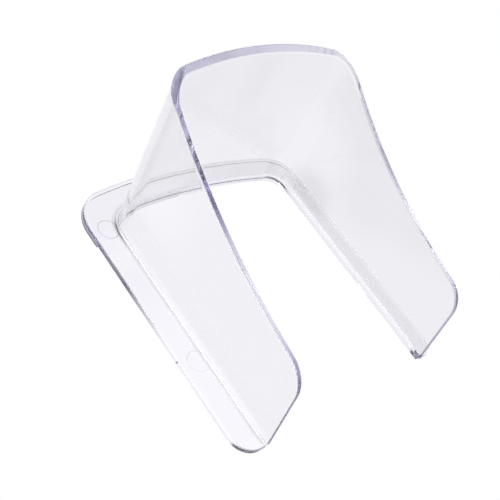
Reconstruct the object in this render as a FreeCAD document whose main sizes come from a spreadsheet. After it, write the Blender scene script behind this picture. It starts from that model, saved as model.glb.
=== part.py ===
import FreeCAD, Part
import math
import os
import Sketcher

# Clear rain hood for a wall-mounted call button or keypad.
#
# The hood lies on its back, as it does on a bench before it is stuck to a wall:
#   z = 0   the mounting face, where the wall surface will be, with +Z out of the wall
#   +Y      from the two open leg ends towards the roof
#   x = 0   the plane of symmetry
# The origin is the centre of the flange's outline on the mounting face.
#
# The moulding is a flat U-shaped flange with a thin hood wall standing on the edge of its
# opening. The roof and both sides lean outwards a little and thicken towards the front rim,
# which sweeps from shallow leg ends up to a deep roof. Three clear adhesive strips behind
# the flange hold it to the wall.

V = FreeCAD.Vector

DIMENSIONS = [
    ("flange_width", 116.0, "flange across both legs"),
    ("flange_length", 116.5, "leg ends to the top of the flange's arch"),
    ("flange_thickness", 2.0, "flange plate"),
    ("flange_corner_radius", 15.0, "upper outer corners of the flange"),
    ("leg_end_radius", 8.5, "rounded outer corner of each leg end"),
    ("opening_width", 90.0, "clear width between the side walls at their base"),
    ("opening_corner_radius", 10.0, "upper corners of the opening"),
    ("arch_radius", 250.0, "shallow arch of the opening's top"),
    ("wall_thickness", 2.0, "hood wall at its foot"),
    ("lip_depth", 0.8, "lip behind the flange, as deep as the adhesive is thick"),
    ("lip_width", 1.2, "lip, measured in from the flange's edge"),
    ("lip_start", 91.0, "leg ends to the lip's square ends"),
    ("side_lean", 2.4, "degrees that each side wall leans outwards"),
    ("roof_lean", 6.8, "degrees that the roof leans upwards"),
    ("wall_taper", 1.0, "degrees that the hood's inner face leans less than its outer one"),
    ("loft_height", 90.0, "height of the hood's upper outline, above the finished rim"),
    ("upper_arch_radius", 229.0, "outer arch of the upper outline"),
    ("upper_corner_radius", 13.5, "outer corners of the upper outline"),
    ("leg_depth", 36.0, "depth of the rim's sweep where it passes the leg ends"),
    ("roof_depth", 71.0, "depth of the rim's sweep at the roof"),
    ("roof_reach", 114.0, "leg ends to the place where roof_depth is measured"),
    ("rim_radius", 252.0, "hollow sweep of the rim, seen from the side"),
    ("rim_corner_radius", 12.0, "corner between the rim and each end edge"),
    ("end_lean", 10.0, "degrees that each end edge leans towards the roof"),
    ("root_radius", 1.0, "fillet where the hood stands on the flange"),
    ("rim_rounding", 0.7, "rounding along both edges of the rim"),
    ("ejector_diameter", 8.5, "round witness marks left by the ejector pins"),
    ("ejector_depth", 0.15, "depth of the witness marks"),
    ("ejector_offset", 50.2, "witness marks from the plane of symmetry"),
    ("lower_ejector", 36.6, "leg ends to the lower witness marks"),
    ("upper_ejector", 96.0, "leg ends to the upper witness marks"),
    ("strip_width", 9.8, "adhesive strips"),
    ("strip_inset", 1.6, "strips, measured in from the flange's edge"),
    ("strip_corner_radius", 1.5, "corners of the strips"),
    ("leg_strip_start", 5.0, "leg ends to the leg strips"),
    ("leg_strip_length", 78.0, "length of each leg strip"),
    ("top_strip_start", 86.0, "leg ends to the square ends of the top strip"),
    ("cutting_margin", 30.0, "how far cutting shapes run past the part"),
]

doc = FreeCAD.newDocument("rain_hood")
sheet = doc.addObject("Spreadsheet::Sheet", "Dimensions")
for row, (alias, number, meaning) in enumerate(DIMENSIONS, start=1):
    sheet.set(f"A{row}", meaning)
    sheet.set(f"B{row}", str(number))
    sheet.setAlias(f"B{row}", alias)
doc.recompute()

# Distances that several pieces share, written once in the sheet's own words.
LEG_END = "(-Dimensions.flange_length / 2)"
HALF_FLANGE = "(Dimensions.flange_width / 2)"
HALF_OPENING = "(Dimensions.opening_width / 2)"
BAND = f"({HALF_FLANGE} - {HALF_OPENING})"
FLANGE_TOP = "(Dimensions.flange_length / 2)"
OPENING_TOP = f"({FLANGE_TOP} - {BAND})"
WALL = "Dimensions.wall_thickness"
FLANGE_FRONT = "(Dimensions.lip_depth + Dimensions.flange_thickness)"
MARGIN = "Dimensions.cutting_margin"


def value(expression):
    """Number that an expression stands for, in millimetres or degrees."""
    return float(sheet.evalExpression(expression))


def plane(body, role):
    """One of a body's own origin planes."""
    return next(item for item in body.Origin.OriginFeatures if item.Role == role)


def new_sketch(body, name, role="XY_Plane", height=None):
    """Sketch on one of the body's origin planes, moved along its normal by a height."""
    sketch = body.newObject("Sketcher::SketchObject", name)
    sketch.AttachmentSupport = (plane(body, role), "")
    sketch.MapMode = "FlatFace"
    if height is not None:
        sketch.setExpression("AttachmentOffset.Base.z", height)
    return sketch


def bind(sketch, kind, places, expression):
    """Driving constraint whose size follows an expression on the sheet."""
    index = sketch.addConstraint(Sketcher.Constraint(kind, *places, value(expression)))
    sketch.setExpression(f"Constraints[{index}]", expression)


def arc(centre, radius, start, end):
    """Arc of a circle, turned anticlockwise between two angles in radians."""
    circle = Part.Circle(V(centre[0], centre[1], 0), V(0, 0, 1), radius)
    return Part.ArcOfCircle(circle, start, end)


def arch_sketch(body, name, height, half, top, arch, corner, bottom):
    """Closed arched outline: a straight foot, two legs, two corners and a shallow arch.

    half is half its width, top and bottom its highest and lowest y, arch and corner its
    radii. The corners are tangent to the legs and to the arch.
    """
    sketch = new_sketch(body, name, height=height)
    a, y1, big, small, y0 = (value(item) for item in (half, top, arch, corner, bottom))
    centre = y1 - big
    inset = a - small
    shoulder = centre + math.sqrt((big - small) ** 2 - inset ** 2)
    turn = math.atan2(shoulder - centre, inset)
    sketch.addGeometry([
        Part.LineSegment(V(-a, y0, 0), V(a, y0, 0)),
        Part.LineSegment(V(a, y0, 0), V(a, shoulder, 0)),
        arc((inset, shoulder), small, 0, turn),
        arc((0, centre), big, turn, math.pi - turn),
        arc((-inset, shoulder), small, math.pi - turn, math.pi),
        Part.LineSegment(V(-a, shoulder, 0), V(-a, y0, 0)),
    ])
    sketch.addConstraint([
        Sketcher.Constraint("Coincident", 0, 2, 1, 1),
        Sketcher.Constraint("Tangent", 1, 2, 2, 1),
        Sketcher.Constraint("Tangent", 2, 2, 3, 1),
        Sketcher.Constraint("Tangent", 3, 2, 4, 1),
        Sketcher.Constraint("Tangent", 4, 2, 5, 1),
        Sketcher.Constraint("Coincident", 5, 2, 0, 1),
        Sketcher.Constraint("Vertical", 1),
        Sketcher.Constraint("Vertical", 5),
        Sketcher.Constraint("Symmetric", 0, 1, 0, 2, -2),
        Sketcher.Constraint("PointOnObject", 3, 3, -2),
        Sketcher.Constraint("Equal", 2, 4),
    ])
    bind(sketch, "DistanceX", (0, 1, 0, 2), f"2 * {half}")
    bind(sketch, "DistanceY", (0, 1, -1, 1), f"-({bottom})")
    bind(sketch, "Radius", (2,), corner)
    bind(sketch, "Radius", (3,), arch)
    bind(sketch, "DistanceY", (3, 3, -1, 1), f"{arch} - {top}")
    return sketch


def box_sketch(body, name, role, height, low, high):
    """Rectangle between two corners, each given as a pair of expressions."""
    sketch = new_sketch(body, name, role, height)
    x0, y0, x1, y1 = (value(item) for item in (*low, *high))
    corners = [V(x0, y0, 0), V(x1, y0, 0), V(x1, y1, 0), V(x0, y1, 0)]
    for start, end in zip(corners, corners[1:] + corners[:1]):
        sketch.addGeometry(Part.LineSegment(start, end))
    for side in range(4):
        sketch.addConstraint(Sketcher.Constraint("Coincident", side, 2, (side + 1) % 4, 1))
    for side, way in enumerate(("Horizontal", "Vertical", "Horizontal", "Vertical")):
        sketch.addConstraint(Sketcher.Constraint(way, side))
    bind(sketch, "DistanceX", (-1, 1, 0, 1), low[0])
    bind(sketch, "DistanceY", (-1, 1, 0, 1), low[1])
    bind(sketch, "DistanceX", (-1, 1, 2, 1), high[0])
    bind(sketch, "DistanceY", (-1, 1, 2, 1), high[1])
    return sketch


def pad(body, name, sketch, length):
    """Pad of a sketch along its normal."""
    feature = body.newObject("PartDesign::Pad", name)
    feature.Profile = sketch
    feature.setExpression("Length", length)
    return feature


def pocket(body, name, sketch, length, through=False, reverse=False):
    """Pocket of a sketch: into the solid, or through it both ways."""
    feature = body.newObject("PartDesign::Pocket", name)
    feature.Profile = sketch
    feature.setExpression("Length", length)
    feature.Midplane = through
    feature.Reversed = reverse
    return feature


def loft(body, name, kind, lower, upper):
    """Straight-sided loft between two outlines of the same make."""
    feature = body.newObject(kind, name)
    feature.Profile = lower
    feature.Sections = [upper]
    feature.Ruled = True
    return feature


def fillet(body, name, keep, radius):
    """Fillet on the edges of the latest feature that keep(edge) picks out."""
    doc.recompute()
    base = body.Tip
    names = [f"Edge{i}" for i, edge in enumerate(base.Shape.Edges, start=1) if keep(edge)]
    feature = body.newObject("PartDesign::Fillet", name)
    feature.Base = (base, names)
    feature.setExpression("Radius", radius)
    doc.recompute()
    return feature


def samples(edge):
    """Five points along an edge."""
    first, last = edge.ParameterRange
    return [edge.valueAt(first + (last - first) * step / 4) for step in range(5)]


def runs_across(face):
    """Whether a face runs straight across the part, parallel to X, at a slant."""
    u0, u1, v0, v1 = face.ParameterRange
    normals = [face.normalAt(u, v) for u in (u0, (u0 + u1) / 2, u1) for v in (v0, v1)]
    level = all(abs(normal.x) < 1e-6 for normal in normals)
    return level and all(abs(normal.y) > 0.03 and normal.z > 0.03 for normal in normals)


# ---------------------------------------------------------------- the moulding

def flange_plate(body):
    """Arched plate with rounded leg ends, as deep as the flange and its lip together."""
    outline = arch_sketch(body, "FlangeOutline", None, HALF_FLANGE, FLANGE_TOP,
                          f"(Dimensions.arch_radius + {BAND})",
                          "Dimensions.flange_corner_radius", LEG_END)
    pad(body, "Flange", outline, FLANGE_FRONT)

    def leg_corner(edge):
        ends = [vertex.Point for vertex in edge.Vertexes]
        upright = len(ends) == 2 and abs(ends[0].z - ends[1].z) > value(FLANGE_FRONT) / 2
        return upright and ends[0].y < value(LEG_END) + 1

    fillet(body, "LegEnds", leg_corner, "Dimensions.leg_end_radius")


def hood_wall(body):
    """Leaning hood wall: an outer loft less an inner one, which also cuts the opening."""
    lean_out = "(Dimensions.loft_height * tan(Dimensions.side_lean))"
    lean_up = "(Dimensions.loft_height * tan(Dimensions.roof_lean))"
    half, top = f"({HALF_OPENING} + {WALL})", f"({OPENING_TOP} + {WALL})"
    lower = arch_sketch(body, "HoodLower", None, half, top,
                        f"(Dimensions.arch_radius + {WALL})",
                        f"(Dimensions.opening_corner_radius + {WALL})", LEG_END)
    upper = arch_sketch(body, "HoodUpper", "Dimensions.loft_height",
                        f"({half} + {lean_out})", f"({top} + {lean_up})",
                        "Dimensions.upper_arch_radius", "Dimensions.upper_corner_radius",
                        LEG_END)
    loft(body, "HoodOuter", "PartDesign::AdditiveLoft", lower, upper)
    lean_out = "(Dimensions.loft_height * tan(Dimensions.side_lean - Dimensions.wall_taper))"
    lean_up = "(Dimensions.loft_height * tan(Dimensions.roof_lean - Dimensions.wall_taper))"
    upper_wall = f"({WALL} + Dimensions.loft_height * tan(Dimensions.wall_taper))"
    below = f"({LEG_END} - {MARGIN})"
    inner_lower = arch_sketch(body, "OpeningLower", None, HALF_OPENING, OPENING_TOP,
                              "Dimensions.arch_radius", "Dimensions.opening_corner_radius",
                              below)
    inner_upper = arch_sketch(body, "OpeningUpper", "Dimensions.loft_height",
                              f"({HALF_OPENING} + {lean_out})", f"({OPENING_TOP} + {lean_up})",
                              f"(Dimensions.upper_arch_radius - {upper_wall})",
                              f"(Dimensions.upper_corner_radius - {upper_wall})", below)
    loft(body, "Opening", "PartDesign::SubtractiveLoft", inner_lower, inner_upper)


def rim_cut(body):
    """Side view of what is cut away: the end edges, the rim's corner and its long sweep.

    The sweep is one arc through two stated depths. Its corner is tangent to it and to the
    leaning end edge, which starts where the front of the flange meets the leg end.
    """
    sketch = new_sketch(body, "RimOutline", "YZ_Plane")
    foot, front = value(LEG_END), value(FLANGE_FRONT)
    near, far = value("Dimensions.leg_depth"), value("Dimensions.roof_depth")
    reach, sweep = value("Dimensions.roof_reach"), value("Dimensions.rim_radius")
    corner, lean = value("Dimensions.rim_corner_radius"), math.radians(value("Dimensions.end_lean"))
    chord = math.hypot(reach, far - near)
    rise = math.sqrt(sweep ** 2 - (chord / 2) ** 2)
    centre = (foot + reach / 2 - rise * (far - near) / chord,
              (near + far) / 2 + rise * reach / chord)
    z = near - corner
    for _ in range(20):
        y = foot + corner / math.cos(lean) + (z - front) * math.tan(lean)
        z = centre[1] - math.sqrt((sweep + corner) ** 2 - (y - centre[0]) ** 2)
    end_touch = V(y - corner * math.cos(lean), z + corner * math.sin(lean), 0)
    towards = math.atan2(centre[1] - z, centre[0] - y)
    rim_touch = V(y + corner * math.cos(towards), z + corner * math.sin(towards), 0)
    away = value(FLANGE_TOP) + value(MARGIN)
    top = value("Dimensions.loft_height") + value(MARGIN)
    back = foot - value(MARGIN)
    rim_end = centre[1] - math.sqrt(sweep ** 2 - (away - centre[0]) ** 2)
    start = math.atan2(rim_touch.y - centre[1], rim_touch.x - centre[0])
    finish = math.atan2(rim_end - centre[1], away - centre[0])
    sketch.addGeometry([
        Part.LineSegment(V(foot, front, 0), end_touch),
        arc((y, z), corner, towards, math.pi - lean),
        arc(centre, sweep, start, finish),
        Part.LineSegment(V(away, rim_end, 0), V(away, top, 0)),
        Part.LineSegment(V(away, top, 0), V(back, top, 0)),
        Part.LineSegment(V(back, top, 0), V(back, front, 0)),
        Part.LineSegment(V(back, front, 0), V(foot, front, 0)),
    ])
    low_point = sketch.addGeometry(Part.Point(V(foot, near, 0)), True)
    high_point = sketch.addGeometry(Part.Point(V(foot + reach, far, 0)), True)
    sketch.addConstraint([
        Sketcher.Constraint("Tangent", 0, 2, 1, 2),
        Sketcher.Constraint("Tangent", 1, 1, 2, 1),
        Sketcher.Constraint("Coincident", 2, 2, 3, 1),
        Sketcher.Constraint("Coincident", 3, 2, 4, 1),
        Sketcher.Constraint("Coincident", 4, 2, 5, 1),
        Sketcher.Constraint("Coincident", 5, 2, 6, 1),
        Sketcher.Constraint("Coincident", 6, 2, 0, 1),
        Sketcher.Constraint("Vertical", 3),
        Sketcher.Constraint("Horizontal", 4),
        Sketcher.Constraint("Vertical", 5),
        Sketcher.Constraint("Horizontal", 6),
        Sketcher.Constraint("PointOnObject", low_point, 1, 2),
        Sketcher.Constraint("PointOnObject", high_point, 1, 2),
    ])
    bind(sketch, "DistanceX", (0, 1, -1, 1), f"-{LEG_END}")
    bind(sketch, "DistanceY", (-1, 1, 0, 1), FLANGE_FRONT)
    bind(sketch, "DistanceX", (low_point, 1, -1, 1), f"-{LEG_END}")
    bind(sketch, "DistanceY", (-1, 1, low_point, 1), "Dimensions.leg_depth")
    bind(sketch, "DistanceX", (0, 1, high_point, 1), "Dimensions.roof_reach")
    bind(sketch, "DistanceY", (-1, 1, high_point, 1), "Dimensions.roof_depth")
    bind(sketch, "Radius", (2,), "Dimensions.rim_radius")
    bind(sketch, "Radius", (1,), "Dimensions.rim_corner_radius")
    angle = sketch.addConstraint(Sketcher.Constraint("Angle", 0, math.pi / 2 - lean))
    sketch.setExpression(f"Constraints[{angle}]", "(90 - Dimensions.end_lean) * 1deg")
    bind(sketch, "DistanceX", (-1, 1, 3, 1), f"{FLANGE_TOP} + {MARGIN}")
    bind(sketch, "DistanceY", (-1, 1, 3, 2), f"Dimensions.loft_height + {MARGIN}")
    bind(sketch, "DistanceX", (5, 1, -1, 1), f"-{LEG_END} + {MARGIN}")
    pocket(body, "Rim", sketch, f"Dimensions.flange_width + 2 * {MARGIN}", through=True)


def back_recess(body):
    """Recess for the adhesive: all of the back but for a lip around the upper edge."""
    inside = arch_sketch(body, "InsideLip", None, f"({HALF_FLANGE} - Dimensions.lip_width)",
                         f"({FLANGE_TOP} - Dimensions.lip_width)",
                         f"(Dimensions.arch_radius + {BAND} - Dimensions.lip_width)",
                         "(Dimensions.flange_corner_radius - Dimensions.lip_width)",
                         f"({LEG_END} - {MARGIN})")
    pocket(body, "RecessInsideLip", inside, "Dimensions.lip_depth", reverse=True)
    legs = box_sketch(body, "LegBacks", "XY_Plane", None,
                      (f"-{HALF_FLANGE} - {MARGIN}", f"{LEG_END} - {MARGIN}"),
                      (f"{HALF_FLANGE} + {MARGIN}", f"{LEG_END} + Dimensions.lip_start"))
    pocket(body, "RecessOnLegs", legs, "Dimensions.lip_depth", reverse=True)


def ejector_marks(body):
    """Shallow round marks in the back of one leg, mirrored onto the other."""
    sketch = new_sketch(body, "EjectorMarks", height="Dimensions.lip_depth")
    radius = value("Dimensions.ejector_diameter / 2")
    for index, place in enumerate(("Dimensions.lower_ejector", "Dimensions.upper_ejector")):
        centre = V(value("Dimensions.ejector_offset"), value(f"{LEG_END} + {place}"), 0)
        sketch.addGeometry(Part.Circle(centre, V(0, 0, 1), radius))
        bind(sketch, "Diameter", (index,), "Dimensions.ejector_diameter")
        bind(sketch, "DistanceX", (-1, 1, index, 3), "Dimensions.ejector_offset")
        bind(sketch, "DistanceY", (-1, 1, index, 3), f"{LEG_END} + {place}")
    marks = pocket(body, "Ejectors", sketch, "Dimensions.ejector_depth", reverse=True)
    doc.recompute()
    mirror = body.newObject("PartDesign::Mirrored", "EjectorsBothSides")
    mirror.Originals = [marks]
    mirror.MirrorPlane = (plane(body, "YZ_Plane"), "")
    body.Tip = mirror


def roundings(body):
    """Fillet at the root of the hood and soft edges all along the rim."""
    front = value(FLANGE_FRONT)
    half = value(f"{HALF_OPENING} + {WALL}") + front * math.tan(
        math.radians(value("Dimensions.side_lean")))
    top = value(f"{OPENING_TOP} + {WALL}") + front

    def root(edge):
        points = samples(edge)
        level = all(abs(point.z - front) < 0.01 for point in points)
        within = all(abs(point.x) < half + 0.1 and point.y < top for point in points)
        return level and within and edge.Length > 2 * value(WALL)

    fillet(body, "Root", root, "Dimensions.root_radius")
    rim_edges = []
    for face in body.Tip.Shape.Faces:
        if runs_across(face) and face.CenterOfMass.z > front + 1:
            rim_edges.extend(edge for edge in face.Edges if edge.Length > 2 * value(WALL))

    def rim(edge):
        return any(edge.isSame(other) for other in rim_edges)

    fillet(body, "RimEdges", rim, "Dimensions.rim_rounding")


def hood():
    """Clear one-piece moulding: flange, hood wall, back lip and ejector marks."""
    body = doc.addObject("PartDesign::Body", "Hood")
    body.Label = "hood"
    flange_plate(body)
    hood_wall(body)
    rim_cut(body)
    back_recess(body)
    ejector_marks(body)
    roundings(body)
    return body


# ---------------------------------------------------------------- the adhesive

def strip_corners(body):
    """Round the upright corners of a strip."""
    def upright(edge):
        ends = [vertex.Point for vertex in edge.Vertexes]
        return len(ends) == 2 and abs(ends[0].z - ends[1].z) > value("Dimensions.lip_depth") / 2

    fillet(body, "StripCorners", upright, "Dimensions.strip_corner_radius")


def leg_strip(label, side):
    """Straight adhesive strip behind one leg; side is 1 for +X and -1 for -X."""
    body = doc.addObject("PartDesign::Body", label.title().replace("_", ""))
    body.Label = label
    outer = f"({HALF_FLANGE} - Dimensions.strip_inset)"
    inner = f"({outer} - Dimensions.strip_width)"
    near, far = (inner, outer) if side > 0 else (f"-{outer}", f"-{inner}")
    start = f"({LEG_END} + Dimensions.leg_strip_start)"
    outline = box_sketch(body, label + "_outline", "XY_Plane", None, (near, start),
                         (far, f"({start} + Dimensions.leg_strip_length)"))
    pad(body, label + "_pad", outline, "Dimensions.lip_depth")
    strip_corners(body)
    return body


def top_strip():
    """Arched adhesive strip behind the top of the flange and down past its corners."""
    label = "adhesive_strip_top"
    body = doc.addObject("PartDesign::Body", "AdhesiveStripTop")
    body.Label = label

    def outline(name, inset, bottom):
        return arch_sketch(body, name, None, f"({HALF_FLANGE} - {inset})",
                           f"({FLANGE_TOP} - {inset})",
                           f"(Dimensions.arch_radius + {BAND} - {inset})",
                           f"(Dimensions.flange_corner_radius - {inset})", bottom)

    inner_inset = "(Dimensions.strip_inset + Dimensions.strip_width)"
    foot = f"({LEG_END} + Dimensions.top_strip_start)"
    outer = outline("OuterEdge", "Dimensions.strip_inset", foot)
    pad(body, "Arch", outer, "Dimensions.lip_depth")
    inner = outline("InnerEdge", inner_inset, f"({foot} - {MARGIN})")
    pocket(body, "ArchInside", inner, "Dimensions.lip_depth", reverse=True)
    strip_corners(body)
    return body


# ---------------------------------------------------------------- checks and files

def check(pieces):
    """Stop if any object failed, or a piece isn't one valid solid."""
    for item in doc.Objects:
        if {"Invalid", "Error"} & set(item.State):
            raise RuntimeError(f"{item.Label} failed to build")
        if item.TypeId == "Sketcher::SketchObject" and not item.FullyConstrained:
            raise RuntimeError(f"{item.Label} isn't fully constrained")
    for piece in pieces:
        if piece.Shape.isNull() or not piece.Shape.isValid() or len(piece.Shape.Solids) != 1:
            raise RuntimeError(f"{piece.Label} isn't one valid solid")


pieces = [
    hood(),
    leg_strip("adhesive_strip_left", -1),
    leg_strip("adhesive_strip_right", 1),
    top_strip(),
]
doc.recompute()
check(pieces)
os.makedirs("parts", exist_ok=True)
for piece in pieces:
    box = piece.Shape.optimalBoundingBox(True, False)
    print(f"{piece.Label}: {piece.Shape.Volume / 1000:.2f} cm3, "
          f"{box.XLength:.2f} x {box.YLength:.2f} x {box.ZLength:.2f} mm")
    piece.Shape.exportStep(f"parts/{piece.Label}.step")
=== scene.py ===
import logging
import math
from dataclasses import dataclass, field
from enum import Enum

import bmesh
import bpy
import numpy as np
from mathutils import Matrix, Vector


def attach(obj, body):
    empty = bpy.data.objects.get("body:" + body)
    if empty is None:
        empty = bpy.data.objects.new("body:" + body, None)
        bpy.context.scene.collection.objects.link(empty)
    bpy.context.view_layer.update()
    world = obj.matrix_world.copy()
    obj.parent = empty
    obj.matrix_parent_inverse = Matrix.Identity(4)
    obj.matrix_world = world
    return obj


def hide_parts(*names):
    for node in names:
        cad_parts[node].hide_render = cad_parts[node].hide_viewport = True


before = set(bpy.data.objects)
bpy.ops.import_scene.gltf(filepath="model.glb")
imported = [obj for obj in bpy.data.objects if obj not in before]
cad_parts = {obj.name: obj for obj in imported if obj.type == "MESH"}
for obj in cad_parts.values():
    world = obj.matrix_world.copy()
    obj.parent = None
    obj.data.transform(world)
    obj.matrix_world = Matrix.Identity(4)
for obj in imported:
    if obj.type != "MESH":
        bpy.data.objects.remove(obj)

logging.basicConfig(level=logging.INFO, format="%(message)s")
log = logging.getLogger("rain_hood")

Colour = tuple[float, float, float]
Spot = tuple[float, float, float]
Span = tuple[float, float]
Feed = bpy.types.NodeSocket | float | tuple[float, ...] | Vector
Rows = dict[str, np.ndarray]

# One millimetre in metres, the straight lead beside each rounding in millimetres, and the
# step in millimetres under which a row of points stands still.
MM = 0.001
LEAD = 0.06
STILL = 1e-6

# Points closer than MERGE are one, and edges shorter than SLIVER go, both in metres.
MERGE = 2e-6
SLIVER = 1e-6
SHARP = math.radians(30)

RISING: Span = (0.0, 1.0)
FALLING: Span = (1.0, 0.0)


class Leg(Enum):
    """The two legs of the hood, named as seen with the roof at the top."""

    LEFT = -1
    RIGHT = 1


class Stretch(Enum):
    """The two curved stretches of an arched outline."""

    CORNER = "corner"
    ARCH = "arch"


class Band(Enum):
    """The bands that a ring round the moulding goes through, in order."""

    RIM_INSIDE = "rim_inside"
    RIM_OUTSIDE = "rim_outside"
    OUTER_WALL = "outer_wall"
    ROOT = "root"
    PLATE_FRONT = "plate_front"
    FRONT_EDGE = "front_edge"
    BACK_EDGE = "back_edge"
    LIP_FOOT = "lip_foot"
    PLATE_BACK = "plate_back"
    HOLE_EDGE = "hole_edge"
    INNER_WALL = "inner_wall"


# ------------------------------------------------------------------ curves and grids

def unit(vectors: np.ndarray) -> np.ndarray:
    """Vectors along the last axis, each divided by its own length."""
    return vectors / np.linalg.norm(vectors, axis=-1, keepdims=True)


def blend(start: np.ndarray, end: np.ndarray, shares: np.ndarray) -> np.ndarray:
    """Rows of points on the straight lines between two rows of points.

    Each point is start plus its share of the way to end.

    Args:
        start: (n, 3) points where the lines start.
        end: (n, 3) points where they end.
        shares: (m,) shares of the way, from 0 to 1.

    Returns:
        (n, m, 3) points.
    """
    return start[:, None] + (end - start)[:, None] * shares[None, :, None]


def tangents(points: np.ndarray) -> np.ndarray:
    """Unit tangents along a row of points.

    Each is the sum of the unit steps before and after its point. The first points may
    coincide, and they take the first step that moves.

    Args:
        points: (n, 3) points.

    Returns:
        (n, 3) unit tangents.
    """
    step = np.diff(points, axis=0)
    moving = np.linalg.norm(step, axis=-1) > STILL
    first = int(np.argmax(moving))
    step[:first] = step[first]
    step = unit(step)
    return unit(np.concatenate([step[:1], step[:-1] + step[1:], step[-1:]]))


def rounded_corner(corner: np.ndarray, along: np.ndarray, across: np.ndarray,
                   radius: np.ndarray, steps: int) -> np.ndarray:
    """Arc that rounds a corner between two straight directions, with a short lead each side.

    With phi the angle between the directions, the arc touches each of them radius / tan(phi / 2)
    from the corner, and its centre is radius / sin(phi / 2) away along their bisector. Points
    between the two touching points are a spherical blend of the two radii.

    Args:
        corner: (n, 3) sharp corners.
        along: (n, 3) unit directions in which the arc starts.
        across: (n, 3) unit directions in which it ends.
        radius: (n,) radii.
        steps: number of segments in the arc.

    Returns:
        (n, steps + 3, 3) points: a lead point, the arc, and a lead point.
    """
    phi = np.arccos(np.clip((along * across).sum(-1), -1, 1))
    reach = (radius / np.tan(phi / 2))[:, None]
    centre = corner + unit(along + across) * (radius / np.sin(phi / 2))[:, None]
    first, last = corner + along * reach, corner + across * reach
    turn = (math.pi - phi)[:, None, None]
    share = np.linspace(0, 1, steps + 1)[None, :, None]
    arc = (centre[:, None] + (first - centre)[:, None] * np.sin((1 - share) * turn) / np.sin(turn)
           + (last - centre)[:, None] * np.sin(share * turn) / np.sin(turn))
    lead = LEAD * np.minimum(radius * 4, 1)[:, None]
    return np.concatenate([(first + along * lead)[:, None], arc, (last + across * lead)[:, None]], 1)


def quarter_turn(steps: int) -> np.ndarray:
    """Angles from 0 to a right angle in even steps."""
    return np.linspace(0, math.pi / 2, steps + 1)


def closed_tube(name: str, rings: np.ndarray, tints: np.ndarray | None = None) -> bpy.types.Mesh:
    """Closed mesh from rings of points that follow one another along a path.

    Neighbouring rings are joined with quads, points that coincide are merged, and the first
    and last rings are filled.

    Args:
        name: name of the mesh.
        rings: (n, m, 3) points in metres; each ring is closed.
        tints: (n, m, 3) colours of painted shade and painted highlights, kept with the points as the
            attribute "tint", or none.

    Returns:
        The mesh, smooth but for sharp edges, with its faces outwards.
    """
    count, around = rings.shape[:2]
    index = np.arange(count * around).reshape(count, around)
    turned = np.roll(index, -1, axis=1)
    quads = np.stack([index[:-1], turned[:-1], turned[1:], index[1:]], -1).reshape(-1, 4)
    mesh = bpy.data.meshes.new(name)
    mesh.from_pydata(rings.reshape(-1, 3), [], quads)
    if tints is not None:
        kept = mesh.attributes.new("tint", "FLOAT_COLOR", "POINT")
        whole = np.concatenate([tints, np.ones_like(tints[..., :1])], -1)
        kept.data.foreach_set("color", whole.ravel().astype(np.float32))
    work = bmesh.new()
    work.from_mesh(mesh)
    bmesh.ops.remove_doubles(work, verts=work.verts, dist=MERGE)
    bmesh.ops.dissolve_degenerate(work, dist=SLIVER, edges=work.edges)
    open_edges = [edge for edge in work.edges if edge.is_boundary]
    bmesh.ops.holes_fill(work, edges=open_edges, sides=0)
    bmesh.ops.recalc_face_normals(work, faces=work.faces)
    work.to_mesh(mesh)
    work.free()
    mesh.polygons.foreach_set("use_smooth", np.ones(len(mesh.polygons), bool))
    mesh.set_sharp_from_angle(angle=SHARP)
    mesh.update()
    return mesh


def place(name: str, data: bpy.types.Mesh | bpy.types.Camera) -> bpy.types.Object:
    """New object at the origin.

    Args:
        name: name of the object.
        data: its mesh, or its camera.

    Returns:
        The object.
    """
    item = bpy.data.objects.new(name, data)
    bpy.context.scene.collection.objects.link(item)
    return item


def stand_for(node: str, mesh: bpy.types.Mesh) -> bpy.types.Object:
    """New piece that shows in place of a CAD node and rides on its body.

    Args:
        node: the CAD node.
        mesh: mesh of the piece, whose name the piece takes.

    Returns:
        The piece.
    """
    piece = place(mesh.name, mesh)
    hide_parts(node)
    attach(piece, "root")
    return piece


# ------------------------------------------------------------------ finishes

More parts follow.
